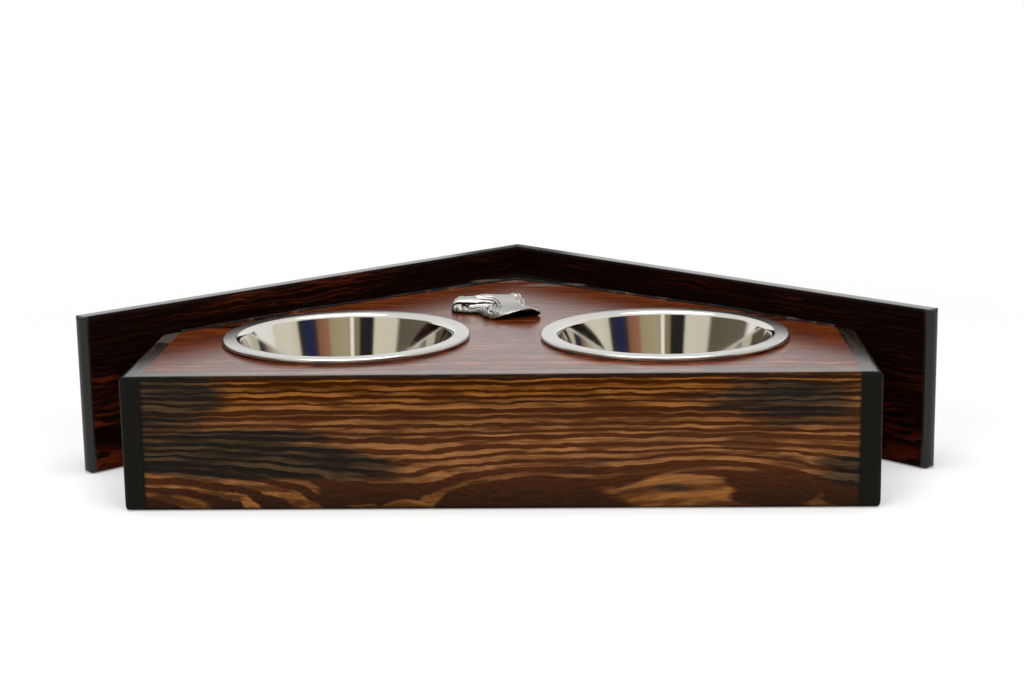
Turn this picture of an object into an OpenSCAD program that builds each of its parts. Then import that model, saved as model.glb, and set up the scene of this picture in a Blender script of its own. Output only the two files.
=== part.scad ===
// Corner feeder stand for a dog: a low box of burnt and varnished pine with two steel bowls let into its
// top, two back boards that meet in a right angle and stand against the walls of a room's corner, and a
// small cast dog's head on the top. Millimetres, +Z up. The front face looks along -Y.

/* [Bowls] */
// Outer diameter of a bowl's rolled rim
bowl_d = 158; // [130:1:200]
// Depth of a bowl, from the flange down to the base
bowl_depth = 50; // [36:1:75]
// Thickness of the steel sheet
sheet_t = 0.8; // [0.5:0.1:1.2]
// Width of the rim, from its outer edge to where it turns down into the bowl
rim_w = 8.5; // [7:0.5:14]
// Lean of the wall from upright, in degrees
wall_lean = 14; // [4:1:18]
// Radius between the wall and the flange
mouth_r = 3.5; // [2:0.5:5]
// Radius between the wall and the base
base_r = 16; // [10:1:28]
// Radius of the rolled edge, at the middle of the sheet
curl_r = 1.2; // [0.9:0.1:1.8]
// Gap between a bowl's wall and the edge of its hole
hole_gap = 3; // [1:0.5:4]

/* [Layout] */
// Gap between the two rims
bowl_gap = 45; // [20:1:90]
// From a rim to the outside of the body
side_margin = 44.5; // [30:0.5:60]
// From a rim to the front face
front_margin = 28.5; // [20:0.5:60]
// From a rim to the back board behind it
rear_margin = 18.6; // [6:0.2:30]
// Height of the body beyond the depth of a bowl
under_bowl = 32; // [15:1:80]
// Height of the back boards above the top
splash_h = 20; // [10:1:60]
// How far a back board runs past the side of the body
wing = 48; // [20:1:90]

/* [Boards] */
// Thickness of every board
board_t = 12; // [9:1:18]
// Rounding of the outer edges of the front and back boards
edge_r = 2.5; // [1:0.5:4]
// Rounding of the outer edges of the side boards
side_r = 4; // [1:0.5:5]
// Width of the cleats under the top
cleat_t = 12; // [9:1:14]
// Height of the cleats under the top
cleat_h = 18; // [15:1:26]
// Gap at the free ends of the cleats
cleat_gap = 2; // [1:0.5:6]
// Legs of the triangular glue blocks at the front
block_leg = 28; // [18:1:40]
// Legs of the triangular block in the back corner
apex_leg = 40; // [30:1:60]
// Height of the glue blocks above the floor
block_foot = 6; // [3:1:15]
// Legs of the bead of glue between the top and the back boards
bead_leg = 2.2; // [1:0.2:4]

/* [Fasteners] */
// Diameter of a screw's shank
screw_d = 3; // [2.5:0.1:4]
// Diameter of a screw's head
head_d = 6; // [5:0.1:7]
// Wood left beyond the tip of a screw
screw_skin = 4; // [2:0.5:6]
// From the ends of a cleat to its first screw
screw_inset = 22; // [15:1:30]
// Height of a block's end screws from its ends
block_inset = 14; // [10:1:20]
// Diameter of a dowel
dowel_d = 6; // [5:0.5:8]
// Length of a dowel
dowel_len = 24; // [18:1:40]
// Wood left beyond the end of a dowel in a side board
dowel_skin = 4; // [2:0.5:6]
// From the top and the bottom of the front board to its dowels
dowel_inset = 20; // [10:1:26]

/* [Casting] */
// Length of the cast dog's head
casting_l = 61; // [40:1:80]
// From the line through the bowls back to the middle of the casting
casting_back = 81.5; // [60:0.5:100]
// How far the middle of the casting stands to the left
casting_left = 8; // [0:1:15]
// Diameter of the pegs under the casting
peg_d = 3; // [2:0.5:5]
// Length of the pegs under the casting
peg_len = 8; // [4:0.5:8]

/* [Hidden] */
$fn = 64;

// Clearance of screws, dowels and pegs in their holes, and of a bowl's rim above the top
fit_gap = 0.1;
seat_gap = 0.3;
// Overlap of a cutter past the face that it cuts
cut = 1;
// Points along each round stretch of a bowl's section
arc_steps = 12;

burnt_pine = [0.30, 0.15, 0.07];
raw_pine = [0.80, 0.64, 0.42];
zinc = [0.72, 0.72, 0.70];
steel = [0.80, 0.80, 0.78];
old_glue = [0.36, 0.31, 0.27];
cast_silver = [0.62, 0.61, 0.58];

root2 = sqrt(2);
LEFT = -1;
RIGHT = 1;
UP = [0, 0, 1];
DOWN = [0, 0, -1];
FRONT = [0, -1, 0];
OUTWARD = [1, 0, 0];
// Along the right back board away from the corner, and out of its back face
ALONG = [1, -1, 0] / root2;
BACK = [1, 1, 0] / root2;
BACK_LEFT = [-1, 1, 0] / root2;

// Plan of the stand, from its bowls outwards; y is counted from the front face here
bowl_r = bowl_d / 2;
bowl_x = bowl_r + bowl_gap / 2;
bowl_y = front_margin + bowl_r;
half_w = bowl_x + bowl_r + side_margin;
inner_x = half_w - board_t;
inner_apex = bowl_x + bowl_y + root2 * (bowl_r + rear_margin);
outer_apex = inner_apex + root2 * board_t;
side_d = inner_apex - half_w;
wing_x = half_w + wing;
// The free ends of the back boards are rounded nearly to a half circle
wing_end_r = 0.45 * board_t;
// The corner's outer edge is rounded, so the stand ends a little short of the sharp corner
overall_d = outer_apex - (root2 - 1) * edge_r;

// Heights
body_h = bowl_depth + under_bowl;
back_h = body_h + splash_h;
top_under = body_h - board_t;
cleat_under = top_under - cleat_h;
cleat_mid = top_under - cleat_h / 2;

// Section of a bowl, with z counted from the middle of the flange's sheet
flange_z = body_h + seat_gap + 2 * curl_r + sheet_t / 2;
flange_in = bowl_r - rim_w;
flange_out = bowl_r - curl_r - sheet_t / 2;
wall_top = [flange_in - mouth_r * cos(wall_lean), -mouth_r * (1 - sin(wall_lean))];
wall_foot_z = -bowl_depth + base_r * (1 - sin(wall_lean));
wall_foot_x = wall_top.x - (wall_top.y - wall_foot_z) * tan(wall_lean);
base_x = wall_foot_x - base_r * cos(wall_lean);
curl_end = -150;
hole_r = wall_top.x + sheet_t / 2 + hole_gap;

// Screws go through a cleat or a back board and stop short of the far face of what they hold
screw_len = cleat_t + board_t - screw_skin;
head_h = (head_d - screw_d) / 2;
tip_h = screw_d;
recess_w = 0.9;
recess_l = 0.55 * head_d;
recess_h = 1.2;
counterbore = cleat_h - cleat_t;
side_cleat_start = board_t + cleat_t;
side_cleat_end = inner_apex - inner_x - root2 * cleat_t - cleat_gap;
side_cleat_mid = (side_cleat_start + side_cleat_end) / 2;
back_cleat_start = apex_leg + cleat_gap;
back_cleat_end = root2 * inner_x - cleat_gap;
back_cleat_mid = (back_cleat_start + back_cleat_end) / 2;
front_screw_x = inner_x - screw_inset;
side_screws = [side_cleat_start + screw_inset, side_cleat_end - screw_inset];
back_screw_runs = [back_cleat_start + screw_inset, back_cleat_mid, back_cleat_end - screw_inset];
back_top_runs = [for (k = [0, 1]) (back_screw_runs[k] + back_screw_runs[k + 1]) / 2];
apex_screw_z = [block_foot + block_inset, top_under - block_inset];
dowel_side = board_t - dowel_skin;
dowel_z = [dowel_inset, body_h - dowel_inset];

casting_y = bowl_y + casting_back;
// The casting is drawn on a grid of 64 units to its length, with its nose to the left
// and its neck to the front
casting_unit = casting_l / 64;
casting_outline = [
    [-33.5, 8], [-31.5, 1.5], [-24, -2], [-15, -4], [-11.5, -10], [-8.5, -18.5], [-2, -25], [5, -27.5],
    [15, -24], [23, -21], [29, -17.5], [30.5, -11.5], [25, -4], [22, 4], [21, 13], [14, 18.5], [3, 18.5],
    [-7, 20], [-15, 21.5], [-18, 18.5], [-27, 17], [-32, 13.5]
];
casting_max = 20;
lump_sides = 22;
peg_spots = [[-14, 8], [14, 2]];

// A point along the right back board's inner face: run from the corner, depth into the body
function back_point(run, depth, z) = [0, inner_apex, z] + run * ALONG - depth * BACK;

// A round stretch of a section as [point, direction of the sheet's upper side]
function bend(centre, r, from, to, flip) = [
    for (k = [0:arc_steps]) let (a = from + (to - from) * k / arc_steps)
        [centre + r * [cos(a), sin(a)], a + flip]
];

function shifted(path, d) = [for (p = path) p[0] + d * [cos(p[1]), sin(p[1])]];
function backwards(list) = [for (k = [len(list) - 1:-1:0]) list[k]];

// Moves a drawing whose y starts at the front face into the stand's frame
module seated() {
    translate([0, -overall_d / 2, 0]) children();
}

// Draws the right-hand piece as it is, or its mirror image on the left
module handed(side) {
    mirror([side == LEFT ? 1 : 0, 0, 0]) children();
}

// Cutter that rounds the straight edge of two faces with the outward normals a and b
module edge_round(middle, a, b, length, r = edge_r) {
    d = cross(a, b);
    multmatrix([
        [a.x, b.x, d.x, middle.x],
        [a.y, b.y, d.y, middle.y],
        [a.z, b.z, d.z, middle.z],
        [0, 0, 0, 1]
    ])
        linear_extrude(length, center = true)
            difference() {
                translate([-r, -r]) square(r + cut);
                translate([-r, -r]) circle(r);
            }
}

// Puts a drawing made along +Z at a point, turned to run along a level direction
module aimed(point, direction) {
    translate(point) rotate([0, 90, atan2(direction.y, direction.x)]) children();
}

// Countersunk wood screw along +Z, with the top of its head at the origin
module screw() {
    difference() {
        union() {
            cylinder(h = head_h, d1 = head_d, d2 = screw_d);
            cylinder(h = screw_len - tip_h, d = screw_d);
            translate([0, 0, screw_len - tip_h]) cylinder(h = tip_h, d1 = screw_d, d2 = screw_d / 4);
        }
        for (turn = [0, 90])
            rotate(turn)
                translate([-recess_l / 2, -recess_w / 2, -cut])
                    cube([recess_l, recess_w, recess_h + cut]);
    }
}

// Hole for that screw, with a bore of the head's width down to a sunk head
module screw_hole(sunk = 0) {
    translate([0, 0, -sunk - cut]) cylinder(h = sunk + cut, d = head_d + 2 * fit_gap);
    cylinder(h = head_h, d1 = head_d + 2 * fit_gap, d2 = screw_d + 2 * fit_gap);
    cylinder(h = screw_len + fit_gap, d = screw_d + 2 * fit_gap);
}

// Places of the level screws that hold the front cleat to the front board
module at_front_screws() {
    for (k = [-1:1]) aimed([k * front_screw_x, board_t + cleat_t, cleat_mid], FRONT) children();
}

// Places of the level screws that hold the right side cleat to its board
module at_side_screws() {
    for (y = side_screws) aimed([inner_x - cleat_t, y, cleat_mid], OUTWARD) children();
}

// Places of the screws driven through the right back board into its cleat
module at_back_screws() {
    for (run = back_screw_runs) aimed(back_point(run, -board_t, cleat_mid), -BACK) children();
}

// Places of the screws driven through the right back board into the corner block
module at_apex_screws() {
    for (z = apex_screw_z) aimed(back_point(apex_leg / 2, -board_t, z), -BACK) children();
}

// Places of the sunk screws that run up through the cleats into the top
module at_top_screws() {
    z = cleat_under + counterbore;
    for (side = [LEFT, RIGHT]) {
        translate([side * front_screw_x / 2, board_t + cleat_t / 2, z]) children();
        handed(side) {
            translate([inner_x - cleat_t / 2, side_cleat_mid, z]) children();
            for (run = back_top_runs) translate(back_point(run, cleat_t / 2, z)) children();
        }
    }
}

// Places of the dowels between the front board and the right side board
module at_dowels() {
    for (z = dowel_z)
        translate([inner_x + dowel_side - dowel_len, board_t / 2, z]) rotate([0, 90, 0]) children();
}

module dowel_hole() {
    translate([0, 0, -fit_gap]) cylinder(h = dowel_len + 2 * fit_gap, d = dowel_d + 2 * fit_gap);
}

module at_casting() {
    translate([-casting_left, casting_y, body_h]) scale(casting_unit) children();
}

// Five-sided top, let in between the side boards and cut through for the bowls
module top_board() {
    corner_y = inner_apex - inner_x;
    color(burnt_pine) seated() difference() {
        translate([0, 0, top_under])
            linear_extrude(board_t)
                polygon([
                    [-inner_x, board_t], [inner_x, board_t], [inner_x, corner_y], [0, inner_apex],
                    [-inner_x, corner_y]
                ]);
        for (side = [LEFT, RIGHT])
            translate([side * bowl_x, bowl_y, top_under - cut]) cylinder(h = board_t + 2 * cut, r = hole_r);
        at_top_screws() screw_hole();
        at_casting() pegs(fit_gap);
    }
}

// Front board between the ends of the side boards
module front_board() {
    color(burnt_pine) seated() difference() {
        translate([-inner_x, 0, 0]) cube([2 * inner_x, board_t, body_h]);
        edge_round([0, 0, body_h], FRONT, UP, 2 * half_w);
        edge_round([0, 0, 0], FRONT, DOWN, 2 * half_w);
        for (side = [LEFT, RIGHT]) handed(side) at_dowels() dowel_hole();
        at_front_screws() screw_hole();
    }
}

// Side board, with its front end showing and its back end cut to the back board
module side_board(side) {
    color(burnt_pine) seated() handed(side) difference() {
        linear_extrude(body_h)
            polygon([[inner_x, 0], [half_w, 0], [half_w, side_d], [inner_x, side_d + board_t]]);
        edge_round([half_w, 0, body_h / 2], OUTWARD, FRONT, 2 * body_h, side_r);
        for (face = [[UP, body_h], [DOWN, 0]]) {
            edge_round([half_w, 0, face[1]], FRONT, face[0], 4 * board_t);
            edge_round([half_w, side_d / 2, face[1]], OUTWARD, face[0], 2 * side_d, side_r);
        }
        at_dowels() dowel_hole();
        at_side_screws() screw_hole();
    }
}

// Back board, mitred to the other one in the corner and running past the body at its free end
module back_board(side) {
    step = board_t / root2;
    end = [wing_x, outer_apex - wing_x, 0];
    length = root2 * wing_x;
    color(burnt_pine) seated() handed(side) difference() {
        linear_extrude(back_h)
            polygon([
                [0, outer_apex], [end.x, end.y], [end.x - step, end.y - step], [0, inner_apex]
            ]);
        edge_round([0, outer_apex, back_h / 2], BACK, BACK_LEFT, 2 * back_h);
        for (skin = [[BACK, 0], [-BACK, board_t]]) {
            edge_round(end - skin[1] * BACK + back_h / 2 * UP, ALONG, skin[0], 2 * back_h, wing_end_r);
            for (face = [[UP, back_h], [DOWN, 0]])
                edge_round(end - skin[1] * BACK + face[1] * UP, skin[0], face[0], 2 * length + 4 * board_t);
        }
        for (face = [[UP, back_h], [DOWN, 0]])
            edge_round(end + face[1] * UP, ALONG, face[0], 4 * board_t);
        at_back_screws() screw_hole();
        at_apex_screws() screw_hole();
    }
}

// Cleat behind the front board, carrying the front of the top
module front_cleat() {
    color(raw_pine) seated() difference() {
        translate([-inner_x, board_t, cleat_under]) cube([2 * inner_x, cleat_t, cleat_h]);
        at_front_screws() screw_hole();
        at_top_screws() screw_hole(counterbore);
    }
}

// Cleat inside a side board, carrying the side of the top
module side_cleat(side) {
    color(raw_pine) seated() handed(side) difference() {
        translate([inner_x - cleat_t, side_cleat_start, cleat_under])
            cube([cleat_t, side_cleat_end - side_cleat_start, cleat_h]);
        at_side_screws() screw_hole();
        at_top_screws() screw_hole(counterbore);
    }
}

// Cleat inside a back board, carrying the slanting back edge of the top
module back_cleat(side) {
    color(raw_pine) seated() handed(side) difference() {
        translate(back_point(back_cleat_start, cleat_t, cleat_under)) rotate(-45)
            cube([back_cleat_end - back_cleat_start, cleat_t, cleat_h]);
        at_back_screws() screw_hole();
        at_top_screws() screw_hole(counterbore);
    }
}

// Triangular block that holds the two back boards square in the corner
module apex_block() {
    reach = apex_leg / root2;
    color(raw_pine) seated() difference() {
        translate([0, 0, block_foot])
            linear_extrude(top_under - block_foot)
                polygon([[0, inner_apex], [-reach, inner_apex - reach], [reach, inner_apex - reach]]);
        for (side = [LEFT, RIGHT]) handed(side) at_apex_screws() screw_hole();
    }
}

// Triangular glue block between the front board and a side board, under the cleats
module corner_block(side) {
    color(raw_pine) seated() handed(side)
        translate([0, 0, block_foot])
            linear_extrude(cleat_under - block_foot)
                polygon([
                    [inner_x, board_t], [inner_x, board_t + block_leg], [inner_x - block_leg, board_t]
                ]);
}

// Bead of glue in the angle between the top and a back board
module joint_bead(side) {
    length = root2 * inner_x;
    color(old_glue) seated() handed(side) intersection() {
        aimed(back_point(0, 0, body_h), ALONG)
            linear_extrude(length)
                polygon([[0, 0], [-bead_leg, 0], [0, -bead_leg]]);
        translate([0, 0, body_h - cut]) cube([2 * length, 2 * length, bead_leg + 2 * cut]);
    }
}

module front_dowels() {
    color(raw_pine) seated()
        for (side = [LEFT, RIGHT]) handed(side) at_dowels() cylinder(h = dowel_len, d = dowel_d);
}

module cleat_screws() {
    color(zinc) seated() {
        at_front_screws() screw();
        for (side = [LEFT, RIGHT]) handed(side) at_side_screws() screw();
    }
}

module top_screws() {
    color(zinc) seated() at_top_screws() screw();
}

module back_screws() {
    color(zinc) seated()
        for (side = [LEFT, RIGHT]) handed(side) {
            at_back_screws() screw();
            at_apex_screws() screw();
        }
}

// Pressed steel bowl with a flat flange and a rolled edge that rests on the top
module bowl(side) {
    path = concat(
        [[[0, -bowl_depth], 90]],
        bend([base_x, base_r - bowl_depth], base_r, -90, -wall_lean, 180),
        bend([flange_in, -mouth_r], mouth_r, 180 - wall_lean, 90, 0),
        bend([flange_out, -curl_r], curl_r, 90, curl_end, 0)
    );
    section = concat(shifted(path, sheet_t / 2), backwards(shifted(path, -sheet_t / 2)));
    color(steel) seated() translate([side * bowl_x, bowl_y, flange_z]) rotate_extrude() polygon(section);
}

// Pegs cast under the dog's head, or with a gap the holes for them, in the casting's units
module pegs(gap) {
    depth = (peg_len + gap) / casting_unit;
    for (spot = peg_spots)
        translate([spot.x, spot.y, -depth]) cylinder(h = depth, d = (peg_d + 2 * gap) / casting_unit);
}

// A swelling of the casting's face that runs from p to q
module swelling(p, q, r, rise) {
    hull() {
        translate(p) scale([1, 1, rise / r]) sphere(r, $fn = lump_sides);
        translate(q) scale([1, 1, rise / r]) sphere(r, $fn = lump_sides);
    }
}

// Cast dog's head in relief, lying on one cheek: muzzle, jaw, skull, and the neck, whose edge flares up
// from the top and is hollow below
module dog_casting() {
    color(cast_silver) seated() at_casting() {
        difference() {
            intersection() {
                linear_extrude(casting_max) polygon(casting_outline);
                union() {
                    swelling([-28, 14], [-9, 15], 10, 9.6);
                    swelling([-28, 3.5], [-12, 1], 6.5, 5);
                    swelling([-7, 15], [10, 14], 14.5, 11);
                    swelling([2, -6], [16, -8], 20, 6.4);
                    swelling([7, -22.5], [23, -19], 8.5, 8);
                }
            }
            translate([20, -23, 0]) rotate(25) scale([15, 9, 6.2]) sphere(1, $fn = lump_sides);
        }
        pegs(0);
    }
}

top_board();
front_board();
side_board(LEFT);  // left_side_board
side_board(RIGHT);  // right_side_board
back_board(LEFT);  // left_back_board
back_board(RIGHT);  // right_back_board
front_cleat();
side_cleat(LEFT);  // left_side_cleat
side_cleat(RIGHT);  // right_side_cleat
back_cleat(LEFT);  // left_back_cleat
back_cleat(RIGHT);  // right_back_cleat
apex_block();
corner_block(LEFT);  // left_corner_block
corner_block(RIGHT);  // right_corner_block
joint_bead(LEFT);  // left_joint_bead
joint_bead(RIGHT);  // right_joint_bead
front_dowels();
cleat_screws();
top_screws();
back_screws();
bowl(LEFT);  // left_bowl
bowl(RIGHT);  // right_bowl
dog_casting();
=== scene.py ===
import math

import bpy
import numpy as np
from mathutils import Matrix, Vector


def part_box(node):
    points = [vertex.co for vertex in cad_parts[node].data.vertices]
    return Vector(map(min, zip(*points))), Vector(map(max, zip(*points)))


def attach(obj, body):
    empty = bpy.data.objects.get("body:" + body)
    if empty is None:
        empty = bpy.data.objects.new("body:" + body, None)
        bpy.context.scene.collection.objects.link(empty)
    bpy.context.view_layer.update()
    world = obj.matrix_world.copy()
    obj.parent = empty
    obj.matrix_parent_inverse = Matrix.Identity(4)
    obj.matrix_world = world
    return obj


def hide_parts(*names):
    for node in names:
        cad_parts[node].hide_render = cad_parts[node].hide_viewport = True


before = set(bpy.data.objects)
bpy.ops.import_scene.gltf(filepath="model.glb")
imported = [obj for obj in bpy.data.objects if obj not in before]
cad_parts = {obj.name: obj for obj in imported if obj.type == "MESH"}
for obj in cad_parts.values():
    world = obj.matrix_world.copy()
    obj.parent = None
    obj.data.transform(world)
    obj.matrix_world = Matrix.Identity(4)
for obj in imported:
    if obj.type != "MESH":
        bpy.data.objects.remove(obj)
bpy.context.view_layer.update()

# Front board: a flat-sawn pine plank between the ends of the two side boards. It was burnt with a
# torch, brushed along the grain so that the hard rings stand out, and varnished. The heart of the
# log lay behind its lower edge, so fine lines run along the top and broad flames along the bottom.
body_h = 0.082
front_low, front_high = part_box("front_board")


def tone(code):
    """A colour as it is seen on a screen, written as six hex digits, in the renderer's linear values."""
    parts = [int(code[k:k + 2], 16) / 255 for k in (0, 2, 4)]
    return tuple(p / 12.92 if p <= 0.04045 else ((p + 0.055) / 1.055) ** 2.4 for p in parts) + (1.0,)


def node(tree, kind, sockets=None, **settings):
    """A node with its settings; a socket takes a value, or the output that is linked to it."""
    made = tree.nodes.new(kind)
    for name, value in settings.items():
        setattr(made, name, value)
    for key, value in (sockets or {}).items():
        if isinstance(value, bpy.types.NodeSocket):
            tree.links.new(value, made.inputs[key])
        else:
            made.inputs[key].default_value = value
    return made


def calc(tree, operation, *values, clamp=False):
    """The outcome of one operation on numbers or outputs."""
    made = node(tree, "ShaderNodeMath", dict(enumerate(values)), operation=operation, use_clamp=clamp)
    return made.outputs[0]


def vec(tree, operation, a, b):
    """The outcome of one operation on two vectors."""
    return node(tree, "ShaderNodeVectorMath", {0: a, 1: b}, operation=operation).outputs[0]


def ease(tree, value, low, high, bottom=0.0, top=1.0):
    """A value carried smoothly from bottom to top while it goes from low to high."""
    return node(tree, "ShaderNodeMapRange", {"Value": value, "From Min": low, "From Max": high,
                "To Min": bottom, "To Max": top}, interpolation_type="SMOOTHSTEP").outputs[0]


def blend(tree, share, a, b):
    """Colour a, going over into b as share goes from 0 to 1."""
    return node(tree, "ShaderNodeMix", {0: share, 6: a, 7: b}, data_type="RGBA").outputs[2]


def speckle(tree, place, stretch, detail=2.0):
    """Soft noise whose grain is stretched by giving its cycles per metre along each axis."""
    return node(tree, "ShaderNodeTexNoise", {"Vector": vec(tree, "MULTIPLY", place, stretch), "Scale": 1.0,
                "Detail": detail}).outputs["Fac"]


def new_material(name):
    """A material, its node tree and its shader."""
    material = bpy.data.materials.new(name)
    material.use_nodes = True
    return material, material.node_tree, material.node_tree.nodes["Principled BSDF"]


def add_bump(tree, shader, height, strength, distance):
    """Fine roughness in the shading, too small to be modelled."""
    bump = node(tree, "ShaderNodeBump", {"Height": height, "Strength": strength, "Distance": distance})
    tree.links.new(bump.outputs[0], shader.inputs["Normal"])


def new_group(name, inputs, outputs):
    """An empty node group with named sockets, and its two end nodes."""
    tree = bpy.data.node_groups.new(name, "ShaderNodeTree")
    for direction, sockets in (("INPUT", inputs), ("OUTPUT", outputs)):
        for title, kind in sockets.items():
            tree.interface.new_socket(name=title, in_out=direction, socket_type="NodeSocket" + kind)
    return tree, node(tree, "NodeGroupInput").outputs, node(tree, "NodeGroupOutput").inputs


def make_pine_grain():
    """Growth rings round a heart that runs along X through the origin, with burnt clouds over them.
    Ring is the width of a ring at the radius where it is measured, and with a Growth above 1 the rings
    nearer to the heart are wider. Plain wipes the light lines out and Pale spreads them."""
    tree, given, out = new_group(
        "pine_grain",
        {"Place": "Vector", "Ring": "Float", "Growth": "Float", "Wander": "Float", "Burn": "Float",
         "Plain": "Float", "Pale": "Float", "Light": "Color", "Dark": "Color", "Char": "Color",
         "Char Line": "Color"},
        {"Color": "Color", "Line": "Float", "Char": "Float", "Fibre": "Float"})
    measured_at = 0.055
    place = given["Place"]
    axes = node(tree, "ShaderNodeSeparateXYZ", {0: place}).outputs
    radius = calc(tree, "SQRT", calc(tree, "ADD", calc(tree, "MULTIPLY", axes["Y"], axes["Y"]),
                  calc(tree, "MULTIPLY", axes["Z"], axes["Z"])))
    slow = calc(tree, "SUBTRACT", speckle(tree, place, (8.0, 30.0, 30.0)), 0.5)
    quick = calc(tree, "SUBTRACT", speckle(tree, place, (48.0, 110.0, 110.0), 3.0), 0.5)
    sway = calc(tree, "MULTIPLY_ADD", slow, 3.0, calc(tree, "MULTIPLY", quick, 3.0))
    swayed = calc(tree, "MAXIMUM", calc(tree, "MULTIPLY_ADD", sway, given["Wander"], radius), 0.0)
    share = calc(tree, "POWER", calc(tree, "DIVIDE", swayed, measured_at), given["Growth"])
    full = calc(tree, "DIVIDE", measured_at, calc(tree, "MULTIPLY", given["Ring"], given["Growth"]))
    count = calc(tree, "MULTIPLY", share, full)
    uneven = node(tree, "ShaderNodeTexNoise", {"W": calc(tree, "MULTIPLY", count, 0.6), "Scale": 1.0},
                  noise_dimensions="1D").outputs["Fac"]
    count = calc(tree, "MULTIPLY_ADD", calc(tree, "SUBTRACT", uneven, 0.5), 1.2, count)
    step = calc(tree, "FRACT", count)
    year = node(tree, "ShaderNodeTexWhiteNoise", {"W": calc(tree, "FLOOR", count)},
                noise_dimensions="1D").outputs["Value"]
    late = calc(tree, "MULTIPLY_ADD", year, -0.16, step)
    line = calc(tree, "MULTIPLY", ease(tree, step, 0.20, 0.31), ease(tree, late, 0.54, 0.68, 1.0, 0.0))
    broken = ease(tree, speckle(tree, place, (26.0, 190.0, 190.0), 3.0), 0.34, 0.62, 0.16, 1.0)
    strong = ease(tree, year, 0.0, 0.6, 0.55, 1.0)
    line = calc(tree, "MULTIPLY", line, calc(tree, "MULTIPLY", broken, strong))
    wiped = calc(tree, "MULTIPLY", line, calc(tree, "SUBTRACT", 1.0, given["Plain"]))
    line = calc(tree, "MAXIMUM", wiped, calc(tree, "MULTIPLY", given["Pale"], broken))
    cloud = calc(tree, "ADD", speckle(tree, place, (9.0, 45.0, 45.0), 4.0), given["Burn"])
    fingers = calc(tree, "SUBTRACT", speckle(tree, place, (7.0, 170.0, 170.0)), 0.5)
    char = ease(tree, calc(tree, "MULTIPLY_ADD", fingers, 0.6, cloud), 0.88, 1.12)
    fibre = speckle(tree, place, (40.0, 1300.0, 1300.0), 3.0)
    wood = blend(tree, line, given["Dark"], given["Light"])
    burnt = blend(tree, line, given["Char"], given["Char Line"])
    streak = ease(tree, fibre, 0.25, 0.75, 0.66, 1.22)
    colour = node(tree, "ShaderNodeVectorMath", {0: blend(tree, char, wood, burnt), "Scale": streak},
                  operation="SCALE")
    for name, value in (("Color", colour.outputs[0]), ("Line", line), ("Char", char), ("Fibre", fibre)):
        tree.links.new(value, out[name])
    return tree


def make_board_edges():
    """How near a point is to a long edge or corner of a board that fills the box from Low to High."""
    tree, given, out = new_group("board_edges", {"Place": "Vector", "Low": "Vector", "High": "Vector"},
                                 {"Edge": "Float"})
    inner = vec(tree, "MINIMUM", vec(tree, "SUBTRACT", given["Place"], given["Low"]),
                vec(tree, "SUBTRACT", given["High"], given["Place"]))
    x, y, z = node(tree, "ShaderNodeSeparateXYZ", {0: inner}).outputs
    low = calc(tree, "MINIMUM", x, calc(tree, "MINIMUM", y, z))
    high = calc(tree, "MAXIMUM", x, calc(tree, "MAXIMUM", y, z))
    total = calc(tree, "ADD", x, calc(tree, "ADD", y, z))
    middle = calc(tree, "SUBTRACT", total, calc(tree, "ADD", low, high))
    ragged = calc(tree, "MULTIPLY", speckle(tree, given["Place"], (220.0, 220.0, 220.0)), 0.002)
    tree.links.new(ease(tree, calc(tree, "ADD", middle, ragged), 0.0008, 0.0042, 1.0, 0.0), out["Edge"])
    return tree


pine_grain = make_pine_grain()
board_edges = make_board_edges()


def swells(tree, along, waves):
    """A line that rises round some places along a board; each is given as middle, reach and rise."""
    total = 0.0
    for middle, reach, rise in waves:
        off = calc(tree, "ABSOLUTE", calc(tree, "SUBTRACT", along, middle))
        total = calc(tree, "ADD", ease(tree, off, 0.0, reach, rise, 0.0), total)
    return total


def patches(tree, along, up, ragged, spots, corner):
    """1 on some places of a face, each given by its middle and its reach along and up; a corner value of
    2 makes them round and one near 1 makes them pointed."""
    total = 0.0
    for (x, z), (long, tall) in spots:
        sides = [calc(tree, "ABSOLUTE", calc(tree, "DIVIDE", calc(tree, "SUBTRACT", value, middle), reach))
                 for value, middle, reach in ((along, x, long), (up, z, tall))]
        powers = [calc(tree, "POWER", side, corner) for side in sides]
        far = calc(tree, "POWER", calc(tree, "ADD", *powers), 1.0 / corner)
        far = calc(tree, "MULTIPLY_ADD", ragged, 0.5, calc(tree, "SUBTRACT", far, 0.25))
        total = calc(tree, "MAXIMUM", ease(tree, far, 0.82, 1.0, 1.0, 0.0), total)
    return total


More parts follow.
